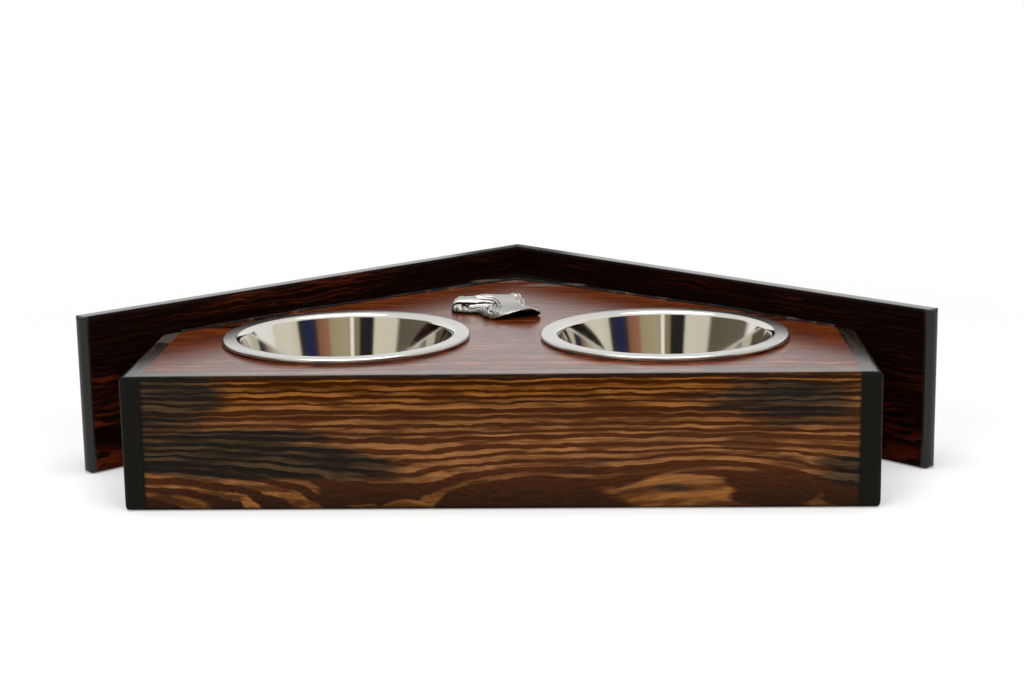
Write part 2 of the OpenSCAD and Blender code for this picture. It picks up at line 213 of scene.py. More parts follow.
def burnt_board(name, corner, turn, low, high, heart, ring, wander, burn, light, dark, shine, gloss,
                growth=1.0, waves=(), knolls=(), plain=(), pale=(), scorches=(), dusty=(),
                char=("1b1713", "423222"), black_ends=(0.0, 0.0), edge_share=0.8, relief=0.0002,
                varnish=(0.0, 0.0), worn_to=0.0, lying=False, corner_dark_line=None):
    """Burnt and varnished pine. corner and turn lay the board's own axes on it: x along its length,
    y into its thickness and z up its face, and low and high are its extent along them. light and dark
    are the colours of lines and ground at the lower edge, half way up and at the upper edge. The heart
    of the log rises in waves at the lower edge and comes nearer to the face in knolls. plain, pale and
    dusty are patches without lines, of light wood and of dust. varnish is the share of gloss on the
    upper edge and on the black ends, and it is worn off the upper edge up to worn_to. The face of a
    lying board is measured along y. The corner line bounds a darker zone round a corner: x and y of
    the corner, how far in front of it the line starts, and its slope to both sides."""
    material, tree, shader = new_material(name)
    moved = vec(tree, "SUBTRACT", node(tree, "ShaderNodeTexCoord").outputs["Object"], corner)
    place = node(tree, "ShaderNodeMapping", {"Vector": moved, "Rotation": (0.0, 0.0, turn)}).outputs[0]
    along, inward, up = node(tree, "ShaderNodeSeparateXYZ", {0: place}).outputs
    fade = ease(tree, up, low[2], 0.7 * high[2], 1.0, 0.0)
    lift = calc(tree, "MULTIPLY", swells(tree, along, waves), fade)
    near = calc(tree, "MULTIPLY_ADD", swells(tree, along, knolls), fade,
                calc(tree, "SUBTRACT", inward, heart[1]))
    rings = node(tree, "ShaderNodeCombineXYZ", {"X": calc(tree, "ADD", along, heart[0]), "Y": near,
                 "Z": calc(tree, "SUBTRACT", calc(tree, "SUBTRACT", up, heart[2]), lift)}).outputs[0]
    for middle, reach, strength in scorches:
        off = vec(tree, "DIVIDE", vec(tree, "SUBTRACT", place, middle), reach)
        far = node(tree, "ShaderNodeVectorMath", {0: off}, operation="LENGTH").outputs["Value"]
        burn = calc(tree, "ADD", ease(tree, far, 0.0, 1.0, strength, 0.0), burn)
    lower, raised = ease(tree, up, low[2], 0.35 * high[2]), ease(tree, up, 0.5 * high[2], high[2])
    light, dark = (blend(tree, raised, blend(tree, lower, a, b), c) for a, b, c in (light, dark))
    ragged = speckle(tree, place, (26.0, 190.0, 190.0), 3.0)
    face_up = inward if lying else up
    grain = node(tree, "ShaderNodeGroup", {
        "Place": rings, "Ring": ring, "Growth": growth, "Wander": wander, "Burn": burn, "Light": light,
        "Dark": dark, "Char": tone(char[0]), "Char Line": tone(char[1]),
        "Plain": patches(tree, along, face_up, ragged, plain, 2.0),
        "Pale": patches(tree, along, face_up, ragged, pale, 1.6)}, node_tree=pine_grain)
    edges = node(tree, "ShaderNodeGroup", {"Place": place, "Low": low, "High": high}, node_tree=board_edges)
    ends = 0.0
    for end, reach in zip((low[0], high[0]), black_ends):
        near = calc(tree, "ABSOLUTE", calc(tree, "SUBTRACT", along, end))
        ends = calc(tree, "MAXIMUM", ease(tree, near, reach * 0.7, reach + 0.0001, 1.0, 0.0), ends)
    # A darker zone round a corner, bounded by a line that slopes back to both sides.
    if corner_dark_line:
        aside = calc(tree, "ABSOLUTE", calc(tree, "SUBTRACT", along, corner_dark_line[0]))
        limit = calc(tree, "MULTIPLY_ADD", aside, corner_dark_line[3], corner_dark_line[2])
        past = calc(tree, "SUBTRACT", calc(tree, "SUBTRACT", corner_dark_line[1], inward), limit)
        past = calc(tree, "MULTIPLY_ADD", ragged, 0.012, past)
        ends = calc(tree, "MAXIMUM", ease(tree, past, 0.002, 0.010, 1.0, 0.0), ends)
    soot_and_corner_dark = calc(tree, "MAXIMUM", calc(tree, "MULTIPLY", edges.outputs["Edge"], edge_share), ends)
    coal = blend(tree, grain.outputs["Fibre"], tone("0c0c0a"), tone("181815"))
    grit = ease(tree, speckle(tree, place, (1100.0, 1100.0, 1100.0), 3.0), 0.25, 0.75, 0.35, 0.75)
    dust = calc(tree, "MULTIPLY", patches(tree, along, face_up, ragged, dusty, 2.0), grit)
    colour = blend(tree, dust, blend(tree, soot_and_corner_dark, grain.outputs["Color"], coal), tone("5c5148"))
    tree.links.new(colour, shader.inputs["Base Color"])
    worn = calc(tree, "MULTIPLY_ADD", grain.outputs["Line"], -0.3 * gloss, gloss)
    worn = calc(tree, "MULTIPLY_ADD", grain.outputs["Fibre"], 0.25 * gloss, worn)
    worn = calc(tree, "MAXIMUM", worn, calc(tree, "MULTIPLY", dust, 0.8))
    tree.links.new(worn, shader.inputs["Roughness"])
    shader.inputs["Specular IOR Level"].default_value = shine
    shader.inputs["Coat Roughness"].default_value = 0.18
    edge_gloss = calc(tree, "MULTIPLY", ease(tree, along, 0.5 * worn_to - 0.001, worn_to), varnish[0])
    coat = calc(tree, "MAXIMUM", ease(tree, up, high[2] - 0.0004, high[2] - 0.0001, 0.0, edge_gloss),
                calc(tree, "MULTIPLY", ends, varnish[1]))
    tree.links.new(calc(tree, "SUBTRACT", coat, dust, clamp=True), shader.inputs["Coat Weight"])
    height = calc(tree, "MULTIPLY_ADD", grain.outputs["Fibre"], 0.35, grain.outputs["Line"])
    height = calc(tree, "MULTIPLY", height, calc(tree, "MULTIPLY_ADD", ends, -0.8, 1.0))
    add_bump(tree, shader, height, 0.6, relief)
    return material


def dress(name, material):
    """Gives a carried-over solid its finish."""
    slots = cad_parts[name].data.materials
    slots.clear()
    slots.append(material)


dress("front_board", burnt_board(
    "burnt_front", tuple(front_low), 0.0, (0.0, 0.0, 0.0), tuple(front_high - front_low),
    heart=(0.4, 0.036, 0.0), ring=0.0041, growth=1.5, wander=0.0014, burn=0.30, shine=0.008, gloss=0.42,
    light=(tone("7f5026"), tone("835733"), tone("7d4d1d")),
    dark=(tone("29180f"), tone("412312"), tone("301403")),
    waves=[(0.345, 0.090, 0.012)],
    knolls=[(-0.050, 0.205, 0.032), (0.232, 0.080, 0.012), (0.330, 0.090, 0.010)],
    plain=[((0.2325, 0.0), (0.058, 0.021)), ((0.374, 0.012), (0.034, 0.013)),
           ((0.125, 0.010), (0.022, 0.009))],
    pale=[((0.318, 0.010), (0.036, 0.013)), ((0.158, 0.0), (0.018, 0.007))],
    scorches=[((0.010, 0.0, 0.070), (0.075, 1.0, 0.024), 0.65),
              ((0.030, 0.0, 0.034), (0.115, 1.0, 0.026), 0.58),
              ((0.385, 0.0, 0.062), (0.085, 1.0, 0.026), 0.50),
              ((0.420, 0.0, 0.024), (0.030, 1.0, 0.018), 0.52),
              ((0.100, 0.0, 0.028), (0.080, 1.0, 0.014), 0.34),
              ((0.315, 0.0, 0.0125), (0.024, 1.0, 0.005), 0.30)],
    black_ends=(0.0012, 0.0012), edge_share=1.0, varnish=(1.0, 0.0)))

# Side boards: short pine planks that close the ends of the body. Their front ends stand beside the
# front board and were burnt black, as end grain takes the flame fastest, and their top edges are
# nearly as dark.
for side, dusty in (("left", [((0.125, body_h), (0.030, 0.02))]), ("right", [])):
    low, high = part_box(side + "_side_board")
    dress(side + "_side_board", burnt_board(
        "burnt_side_" + side, (high.x, low.y, low.z), -math.pi / 2, (0.0, 0.0, 0.0),
        (high.y - low.y, high.x - low.x, body_h), heart=(0.9, 0.045, 0.010), ring=0.0036, wander=0.0018,
        burn=0.46, light=(tone("7c4a24"),) * 3, dark=(tone("2a170d"),) * 3, shine=0.03, gloss=0.42,
        scorches=[((0.07, 0.0, body_h), (1.0, 1.0, 0.022), 0.9)], dusty=dusty, black_ends=(0.016, 0.010),
        edge_share=0.8, varnish=(1.0, 0.0)))

# Top board: a five-sided panel of straight-grained pine, let in between the other boards. It was
# only lightly burnt, stained red-brown and varnished until it shone, and its colour is made darker
# towards the back and round the back corner.
top_low, top_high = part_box("top_board")
top_w, top_d, top_t = top_high - top_low
dress("top_board", burnt_board(
    "burnt_top", tuple(top_low), 0.0, (0.0, 0.0, 0.0), (top_w, top_d, top_t), heart=(0.7, 0.10, -0.36),
    ring=0.0026, wander=0.0016, burn=0.20, light=(tone("803e18"),) * 3, dark=(tone("50200a"),) * 3,
    shine=0.47, gloss=0.20, char=("0e0804", "24130a"), lying=True,
    # The corner line darkens the top round the back corner.
    corner_dark_line=(top_w / 2, top_d, 0.024, 0.83),
    dusty=[((top_w / 2 - 0.012, top_d - 0.033), (0.024, 0.008)),
           ((top_w / 2 + 0.030, top_d - 0.052), (0.026, 0.007))],
    # These darken the top towards the back, in the middle and at both sides by the back boards.
    scorches=[((top_w / 2, top_d, top_t), (0.230, 0.050, 1.0), 0.6),
              ((0.02, 0.16, top_t), (0.11, 0.06, 1.0), 0.42),
              ((top_w - 0.02, 0.16, top_t), (0.11, 0.06, 1.0), 0.42)],
    edge_share=0.0, relief=0.00006))

# Back boards: two longer planks on edge, mitred together in the back corner. They stand above the
# top as a splash guard and run past the body as wings, and are burnt almost black along the joint.
root2 = math.sqrt(2)
board_t, edge_r = 0.012, 0.0025
wing_reach = 0.273
apex_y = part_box("left_back_board")[1].y + (root2 - 1) * edge_r
back_l, back_h = wing_reach * root2, 0.102
# Both back boards are the same burnt pine; the right board is given darker tones than the left as painted
# shade.
for side, turn, start, light, dark, skin in (
        ("left", 135.0, 0.3, "5a230d", "1c0904", (0.0, board_t)),
        ("right", 45.0, 1.1, "451609", "140502", (-board_t, 0.0))):
    dress(side + "_back_board", burnt_board(
        "burnt_back_" + side, (0.0, apex_y, 0.0), math.radians(turn), (0.0, skin[0], 0.0),
        (back_l, skin[1], back_h), heart=(start, -0.030, 0.010), ring=0.0032, wander=0.0026, burn=0.50,
        light=(tone(light),) * 3, dark=(tone(dark),) * 3, shine=0.012, gloss=0.28,
        char=("0d0503", "1e0b05"),
        scorches=[((0.0, 0.0, 0.09), (0.16, 1.0, 0.05), 0.3), ((0.2, 0.0, body_h), (0.6, 1.0, 0.010), 0.4),
                  ((back_l, 0.0, 0.09), (0.10, 1.0, 0.05), 0.25)],
        black_ends=(0.0, 0.005), edge_share=0.5, varnish=(0.95, 0.6), worn_to=0.090))

# Glue bead: a thin uneven line of glue, dust and ash left where the top meets the back boards when the
# box was put together. It lies in the joint and swings forward round the back corner, where it is
# darker, and its width comes and goes.
apex_in = Vector((0.0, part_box("left_joint_bead")[1].y, body_h))
bead_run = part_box("right_joint_bead")[1].x
bead_size, bead_step = 0.0013, 0.0012


def to_mesh(shape):
    """The evaluated shape as a plain mesh, with its modifiers gone."""
    ready = bpy.data.meshes.new_from_object(shape.evaluated_get(bpy.context.evaluated_depsgraph_get()))
    shape.modifiers.clear()
    shape.data = ready
    return shape


def new_piece(name, points, edges=(), faces=()):
    """A new object in the scene with a plain mesh."""
    mesh = bpy.data.meshes.new(name)
    mesh.from_pydata([tuple(p) for p in points], list(edges), list(faces))
    piece = bpy.data.objects.new(name, mesh)
    bpy.context.collection.objects.link(piece)
    return piece


def grow(piece, tree, **inputs):
    """Puts a Geometry Nodes tree on a piece, sets its named inputs and keeps the plain mesh it makes."""
    modifier = piece.modifiers.new("shape", "NODES")
    modifier.node_group = tree
    for item in tree.interface.items_tree:
        if item.in_out == "INPUT" and item.name in inputs:
            modifier[item.identifier] = inputs[item.name]
    return to_mesh(piece)


def new_shape_tree(name, inputs):
    """An empty Geometry Nodes tree with a geometry in and out and further named inputs."""
    tree = bpy.data.node_groups.new(name, "GeometryNodeTree")
    tree.interface.new_socket(name="Geometry", in_out="OUTPUT", socket_type="NodeSocketGeometry")
    for title, kind in {"Geometry": "Geometry", **inputs}.items():
        tree.interface.new_socket(name=title, in_out="INPUT", socket_type="NodeSocket" + kind)
    return tree, node(tree, "NodeGroupInput").outputs, node(tree, "NodeGroupOutput").inputs["Geometry"]


def end_shape(tree, shape, material, out):
    """Gives a finished shape its material and hands it out of its tree."""
    real = node(tree, "GeometryNodeRealizeInstances", {"Geometry": shape.outputs[0]})
    done = node(tree, "GeometryNodeSetMaterial", {"Geometry": real.outputs[0], "Material": material})
    tree.links.new(done.outputs[0], out)
    return tree


def make_bead_tree():
    """Sweeps a round section along a line, thick and thin by noise."""
    tree, given, out = new_shape_tree("glue_bead", {"Radius": "Float", "Step": "Float", "Glue": "Material"})
    line = node(tree, "GeometryNodeMeshToCurve", {"Mesh": given["Geometry"]})
    fine = node(tree, "GeometryNodeResampleCurve", {"Curve": line.outputs[0], "Length": given["Step"]},
                mode="LENGTH")
    spot = node(tree, "GeometryNodeInputPosition").outputs[0]
    lumps = node(tree, "ShaderNodeTexNoise", {"Vector": spot, "Scale": 260.0, "Detail": 2.0}).outputs["Fac"]
    swell = node(tree, "ShaderNodeTexNoise", {"Vector": spot, "Scale": 30.0, "Detail": 1.0}).outputs["Fac"]
    width = calc(tree, "MULTIPLY_ADD", lumps, 0.9, calc(tree, "MULTIPLY_ADD", swell, 1.5, -0.35))
    thick = node(tree, "GeometryNodeSetCurveRadius", {"Curve": fine.outputs[0], "Radius": width})
    ring = node(tree, "GeometryNodeCurvePrimitiveCircle", {"Resolution": 10, "Radius": given["Radius"]})
    tube = node(tree, "GeometryNodeCurveToMesh", {"Curve": thick.outputs[0],
                "Profile Curve": ring.outputs[0], "Scale": width, "Fill Caps": True})
    smooth = node(tree, "GeometryNodeSetShadeSmooth", {"Geometry": tube.outputs[0]})
    return end_shape(tree, smooth, given["Glue"], out)


def make_glue():
    """Old brown glue with pale dust, blacker towards the back corner."""
    material, tree, shader = new_material("old_glue")
    place = node(tree, "ShaderNodeTexCoord").outputs["Object"]
    dust = ease(tree, speckle(tree, place, (700.0, 700.0, 700.0), 3.0), 0.45, 0.62)
    soot_and_corner_dark = ease(tree, speckle(tree, place, (60.0, 60.0, 60.0), 3.0), 0.50, 0.66)
    colour = blend(tree, dust, tone("2b1a12"), tone("5e5148"))
    aside = calc(tree, "ABSOLUTE", node(tree, "ShaderNodeSeparateXYZ", {0: place}).outputs["X"])
    soot_and_corner_dark = calc(tree, "MULTIPLY", soot_and_corner_dark, ease(tree, aside, 0.0, 0.060, 0.25, 1.0))
    tree.links.new(blend(tree, soot_and_corner_dark, tone("120c09"), colour), shader.inputs["Base Color"])
    tree.links.new(ease(tree, dust, 0.0, 1.0, 0.6, 0.8), shader.inputs["Roughness"])
    shader.inputs["Specular IOR Level"].default_value = 0.15
    add_bump(tree, shader, dust, 0.5, 0.0003)
    return material


bead_back = Vector((0.0, -0.0006, 0.0002))
bead_turns = [(bead_run, bead_run), (0.139, 0.1395), (0.020, 0.041)]
bead_middle = (0.0, 0.028)
bead_line = [(-x, y) for x, y in bead_turns] + [bead_middle] + bead_turns[::-1]
glue_bead = new_piece("glue_bead", [apex_in + bead_back + Vector((x, -y, 0.0)) for x, y in bead_line],
                      [(k, k + 1) for k in range(len(bead_line) - 1)])
grow(glue_bead, make_bead_tree(), Radius=bead_size, Step=bead_step, Glue=make_glue())
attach(glue_bead, "stand")
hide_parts("left_joint_bead", "right_joint_bead")

# Cleats, glue blocks and dowels: bare planed pine, glued and screwed in under the top, where it was
# neither burnt nor stained and only a little darkened by age.
raw_pine = burnt_board(
    "raw_pine", (-0.3, -0.3, 0.0), 0.0, (0.0, 0.0, 0.0), (0.6, 0.6, 0.1), heart=(-0.2, 0.9, -0.12),
    ring=0.0040, wander=0.003, burn=-1.0, light=(tone("d9b98a"),) * 3, dark=(tone("c09a63"),) * 3,
    shine=0.25, gloss=0.6, edge_share=0.0)
for name in ("front_cleat", "left_side_cleat", "right_side_cleat", "left_back_cleat", "right_back_cleat",
             "apex_block", "left_corner_block", "right_corner_block", "front_dowels"):
    dress(name, raw_pine)

# Screws: zinc plated countersunk wood screws with a cross recess and a rolled thread. They hold the
# cleats to the boards, the top to the cleats, and the back boards to their cleats and to the block.
screw_len, screw_d, screw_head = 0.020, 0.003, 0.006
screw_z, sunk_z, screw_inset = body_h - 0.021, body_h - 0.024, 0.022
block_run, block_zs = 0.020, (0.020, body_h - 0.026)
back_cleat_start, back_cleat_gap = 0.042, 0.002


def make_screw_tree():
    """One screw along +Z with its head at the origin, set on every point and turned to its aim."""
    tree, given, out = new_shape_tree("wood_screws", {"Head": "Float", "Shank": "Float", "Length": "Float",
                                                      "Zinc": "Material"})
    core = calc(tree, "MULTIPLY", given["Shank"], 0.36)
    wide = calc(tree, "MULTIPLY", given["Head"], 0.5)
    sink = calc(tree, "MULTIPLY", given["Head"], 0.25)
    head = node(tree, "GeometryNodeMeshCone", {"Vertices": 32, "Side Segments": 2, "Radius Top": core,
                "Radius Bottom": wide, "Depth": sink}).outputs["Mesh"]
    slot = node(tree, "ShaderNodeCombineXYZ", {"X": calc(tree, "MULTIPLY", given["Head"], 0.55),
                "Y": calc(tree, "MULTIPLY", given["Head"], 0.14),
                "Z": calc(tree, "MULTIPLY", given["Head"], 0.4)})
    bar = node(tree, "GeometryNodeMeshCube", {"Size": slot.outputs[0]}).outputs["Mesh"]
    turned = node(tree, "GeometryNodeTransform", {"Geometry": bar, "Rotation": (0.0, 0.0, math.pi / 2)})
    cut = node(tree, "GeometryNodeMeshBoolean", {"Mesh 1": head}, operation="DIFFERENCE", solver="EXACT")
    for cutter in (bar, turned.outputs[0]):
        tree.links.new(cutter, cut.inputs["Mesh 2"])
    lift = node(tree, "ShaderNodeCombineXYZ", {"Z": calc(tree, "MULTIPLY", given["Length"], 0.5)}).outputs[0]
    rod = node(tree, "GeometryNodeMeshCylinder", {"Vertices": 16, "Radius": core, "Depth": given["Length"]})
    stem = node(tree, "GeometryNodeTransform", {"Geometry": rod.outputs["Mesh"], "Translation": lift})
    ridge = node(tree, "GeometryNodeCurveSpiral", {"Resolution": 16, "Rotations": 9.0, "Start Radius": core,
                 "End Radius": core, "Height": calc(tree, "MULTIPLY", given["Length"], 0.7)}).outputs[0]
    edge = node(tree, "GeometryNodeCurvePrimitiveCircle", {"Resolution": 4,
                "Radius": calc(tree, "MULTIPLY", core, 0.34)})
    coil = node(tree, "GeometryNodeCurveToMesh", {"Curve": ridge, "Profile Curve": edge.outputs[0],
                "Fill Caps": True})
    start = node(tree, "ShaderNodeCombineXYZ", {"Z": calc(tree, "MULTIPLY", given["Length"], 0.28)})
    thread = node(tree, "GeometryNodeTransform", {"Geometry": coil.outputs[0],
                  "Translation": start.outputs[0]})
    screw = node(tree, "GeometryNodeJoinGeometry")
    for bit in (cut, stem, thread):
        tree.links.new(bit.outputs[0], screw.inputs[0])
    aim = node(tree, "GeometryNodeInputNamedAttribute", {"Name": "aim"}, data_type="FLOAT_VECTOR").outputs[0]
    turn = node(tree, "FunctionNodeAlignRotationToVector", {"Vector": aim}, axis="Z").outputs[0]
    placed = node(tree, "GeometryNodeInstanceOnPoints", {"Points": given["Geometry"],
                  "Instance": screw.outputs[0], "Rotation": turn})
    return end_shape(tree, placed, given["Zinc"], out)


def make_zinc():
    """Zinc plate with a cloudy bloom."""
    material, tree, shader = new_material("zinc_plate")
    place = node(tree, "ShaderNodeTexCoord").outputs["Object"]
    bloom = ease(tree, speckle(tree, place, (420.0, 420.0, 420.0), 3.0), 0.35, 0.65)
    tree.links.new(blend(tree, bloom, tone("9c9a92"), tone("c9c8c2")), shader.inputs["Base Color"])
    tree.links.new(ease(tree, bloom, 0.0, 1.0, 0.5, 0.3), shader.inputs["Roughness"])
    shader.inputs["Metallic"].default_value = 1.0
    add_bump(tree, shader, bloom, 0.2, 0.00005)
    return material


def on_back(run, depth, z):
    """A point by the inner face of the right back board: run from the corner, depth into the body."""
    return Vector((0.0, apex_in.y, z)) + run * board_along - depth * board_back


def screw_places():
    """Head and aim of every screw, as pairs."""
    front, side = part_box("front_cleat"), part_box("right_side_cleat")
    back_ends = (back_cleat_start, side[1].x * root2 - back_cleat_gap)
    runs = [back_ends[0] + screw_inset, sum(back_ends) / 2, back_ends[1] - screw_inset]
    right = [((front[1].x - screw_inset, front[1].y, screw_z), (0, -1, 0))]
    right += [((side[0].x, y, screw_z), (1, 0, 0))
              for y in (side[0].y + screw_inset, side[1].y - screw_inset)]
    right += [(on_back(run, -board_t, screw_z), -board_back) for run in runs]
    right += [(on_back(block_run, -board_t, z), -board_back) for z in block_zs]
    right += [(((front[1].x - screw_inset) / 2, (front[0].y + front[1].y) / 2, sunk_z), (0, 0, 1)),
              (((side[0].x + side[1].x) / 2, (side[0].y + side[1].y) / 2, sunk_z), (0, 0, 1))]
    right += [(on_back((a + b) / 2, board_t / 2, sunk_z), (0, 0, 1)) for a, b in zip(runs, runs[1:])]
    mirrored = [((-p[0], p[1], p[2]), (-a[0], a[1], a[2])) for p, a in right]
    return right + mirrored + [((0.0, front[1].y, screw_z), (0, -1, 0))]


board_along, board_back = Vector((1, -1, 0)) / root2, Vector((1, 1, 0)) / root2
places = screw_places()
screws = new_piece("wood_screws", [head for head, aim in places])
aims = screws.data.attributes.new("aim", "FLOAT_VECTOR", "POINT")
for mark, (head, aim) in zip(aims.data, places):
    mark.vector = aim
grow(screws, make_screw_tree(), Head=screw_head, Shank=screw_d, Length=screw_len, Zinc=make_zinc())
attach(screws, "stand")
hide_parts("cleat_screws", "top_screws", "back_screws")

# Bowls: pressed from one disc of stainless sheet, with a round-cornered base, a leaning wall, a flat
# flange and an edge rolled under. They hang by that edge in the holes of the top and lift out. The
# wall is polished like a mirror and the flange is a little duller.
sheet = 0.0008
bowl_depth = 0.050
rim_w = 0.0085
wall_lean = math.radians(14.0)
mouth_r = 0.0035
base_r = 0.016
curl_r = 0.0012
curl_end = math.radians(-150.0)
bowl_turns = 192


def arc(centre, r, start, end, flip, steps):
    """Points of a round stretch as (radius, height, direction of the sheet's upper side)."""
    angles = [start + (end - start) * k / steps for k in range(steps + 1)]
    return [(centre[0] + r * math.cos(a), centre[1] + r * math.sin(a), a + flip) for a in angles]


def bowl_section(rim_r, flange_z):
    """The closed outline of the sheet from the middle of the inside round the rolled edge to below."""
    flange_in = rim_r - rim_w
    wall_x = flange_in - mouth_r * math.cos(wall_lean)
    wall_z = -mouth_r * (1 - math.sin(wall_lean))
    foot_z = -bowl_depth + base_r * (1 - math.sin(wall_lean))
    base_x = wall_x - (wall_z - foot_z) * math.tan(wall_lean) - base_r * math.cos(wall_lean)
    quarter = math.pi / 2
    path = [(base_x * k / 6, -bowl_depth, quarter) for k in range(6)]
    path += arc((base_x, base_r - bowl_depth), base_r, -quarter, -wall_lean, math.pi, 24)
    path += arc((flange_in, -mouth_r), mouth_r, math.pi - wall_lean, quarter, 0.0, 16)
    path += arc((rim_r - curl_r - sheet / 2, -curl_r), curl_r, quarter, curl_end, 0.0, 20)
    upper = [(r + sheet / 2 * math.cos(a), z + sheet / 2 * math.sin(a)) for r, z, a in path]
    under = [(r - sheet / 2 * math.cos(a), z - sheet / 2 * math.sin(a)) for r, z, a in reversed(path)]
    return [(max(r, 0.0), 0.0, flange_z + z) for r, z in upper + under]


def make_turning_tree():
    """Turns a section, drawn as points in the XZ plane, round an upright axis through Centre."""
    tree, given, out = new_shape_tree("turned_sheet", {"Points": "Int", "Turns": "Int", "Centre": "Vector",
                                                       "Steel": "Material"})
    grid = node(tree, "GeometryNodeMeshGrid", {"Size X": 1.0, "Size Y": 1.0, "Vertices X": given["Points"],
                "Vertices Y": calc(tree, "ADD", given["Turns"], 1)})
    spot = node(tree, "GeometryNodeInputPosition").outputs[0]
    flat = node(tree, "ShaderNodeSeparateXYZ", {0: spot}).outputs
    last = calc(tree, "SUBTRACT", given["Points"], 1)
    number = calc(tree, "ROUND", calc(tree, "MULTIPLY", calc(tree, "ADD", flat["X"], 0.5), last))
    drawn = node(tree, "GeometryNodeSampleIndex", data_type="FLOAT_VECTOR", domain="POINT")
    tree.links.new(given["Geometry"], drawn.inputs["Geometry"])
    tree.links.new(spot, drawn.inputs["Value"])
    tree.links.new(number, drawn.inputs["Index"])
    reach = node(tree, "ShaderNodeSeparateXYZ", {0: drawn.outputs[0]}).outputs
    angle = calc(tree, "MULTIPLY", flat["Y"], 2 * math.pi)
    turned = node(tree, "ShaderNodeCombineXYZ", {
        "X": calc(tree, "MULTIPLY", reach["X"], calc(tree, "COSINE", angle)),
        "Y": calc(tree, "MULTIPLY", reach["X"], calc(tree, "SINE", angle)), "Z": reach["Z"]})
    spun = node(tree, "GeometryNodeSetPosition", {"Geometry": grid.outputs[0], "Position": turned.outputs[0],
                "Offset": given["Centre"]})
    closed = node(tree, "GeometryNodeMergeByDistance", {"Geometry": spun.outputs[0], "Distance": 1e-6})
    smooth = node(tree, "GeometryNodeSetShadeSmooth", {"Geometry": closed.outputs[0]})
    return end_shape(tree, smooth, given["Steel"], out)


def make_steel(name, centre, flange_in):
    """Stainless sheet round an axis: mirror wall, duller flange, faint turning marks and wiped smears."""
    material, tree, shader = new_material(name)
    place = vec(tree, "SUBTRACT", node(tree, "ShaderNodeTexCoord").outputs["Object"], centre)
    axes = node(tree, "ShaderNodeSeparateXYZ", {0: place}).outputs
    reach = calc(tree, "SQRT", calc(tree, "ADD", calc(tree, "MULTIPLY", axes["X"], axes["X"]),
                 calc(tree, "MULTIPLY", axes["Y"], axes["Y"])))
    angle = calc(tree, "ARCTAN2", axes["Y"], axes["X"])
    ring = node(tree, "ShaderNodeCombineXYZ", {"X": reach, "Y": calc(tree, "MULTIPLY", angle, 0.002),
                "Z": axes["Z"]})
    marks = speckle(tree, ring.outputs[0], (3200.0, 900.0, 3200.0), 2.0)
    smear = speckle(tree, place, (45.0, 45.0, 45.0), 3.0)
    peel = speckle(tree, place, (900.0, 900.0, 900.0), 1.0)
    dull = ease(tree, reach, flange_in - 0.002, flange_in + 0.001, 0.055, 0.20)
    rough = calc(tree, "MULTIPLY_ADD", calc(tree, "MULTIPLY", smear, marks), 0.10, dull)
    tree.links.new(rough, shader.inputs["Roughness"])
    flat = ease(tree, reach, flange_in - 0.003, flange_in)
    sheen = blend(tree, flat, tone("e4e1d9"), tone("cbc9c5"))
    colour = blend(tree, calc(tree, "MULTIPLY", smear, 0.3), sheen, tone("c2c0ba"))
    tree.links.new(colour, shader.inputs["Base Color"])
    shader.inputs["Metallic"].default_value = 1.0
    height = calc(tree, "MULTIPLY_ADD", marks, 0.35, peel)
    add_bump(tree, shader, height, 0.25, 0.00002)
    return material


turning = make_turning_tree()
for side in ("left", "right"):
    low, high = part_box(side + "_bowl")
    rim_r = (high.x - low.x) / 2
    axis = ((low.x + high.x) / 2, (low.y + high.y) / 2, 0.0)
    section = bowl_section(rim_r, high.z - sheet / 2)
    bowl = new_piece(side + "_steel_bowl", section)
    grow(bowl, turning, Points=len(section), Turns=bowl_turns, Centre=axis,
         Steel=make_steel("bowl_steel_" + side, axis, rim_r - rim_w))
    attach(bowl, side + "_bowl")
    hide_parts(side + "_bowl")

# Casting: a dog's head in relief, poured in white metal, darkened in its recesses and rubbed bright on
# its high places; painted shade also darkens its low edge by the board and the underside of its flared
# neck. It is a shell with two pegs in the top board; its neck flares up from the board.
casting_l = 0.061
unit = casting_l / 64
casting_mid = Vector((-0.008, 0.00752, body_h))
rings, spokes = 96, 360
shell_t, foot_at, foot_span = 0.9, 0.68, 0.29
edge_power, crowding = 22, 0.8
brim_h, brim_at, brim_w = 0.8, 0.965, 0.018
flare_from, flare_full = 0.5, 2.0
outline = [(-33.5, 8.0, 0), (-31.5, 1.5, 0), (-24.0, -2.0, 0), (-15.0, -4.0, 0), (-11.5, -10.0, 0),
           (-8.5, -18.5, 0), (-2.0, -25.0, 1.2), (5.0, -27.5, 3.8), (15.0, -24.0, 6.2), (23.0, -21.0, 7.4),
           (29.0, -17.5, 4.6), (30.5, -11.5, 1.6), (25.0, -4.0, 0), (22.0, 4.0, 0), (21.0, 13.0, 0),
           (14.0, 18.5, 0), (3.0, 18.5, 0), (-7.0, 20.0, 0), (-15.0, 21.5, 0), (-18.0, 18.5, 0),
           (-27.0, 17.0, 0), (-32.0, 13.5, 0)]
heart_of_star = np.array((2.0, 2.0))
corner = (-7.0, -2.0)
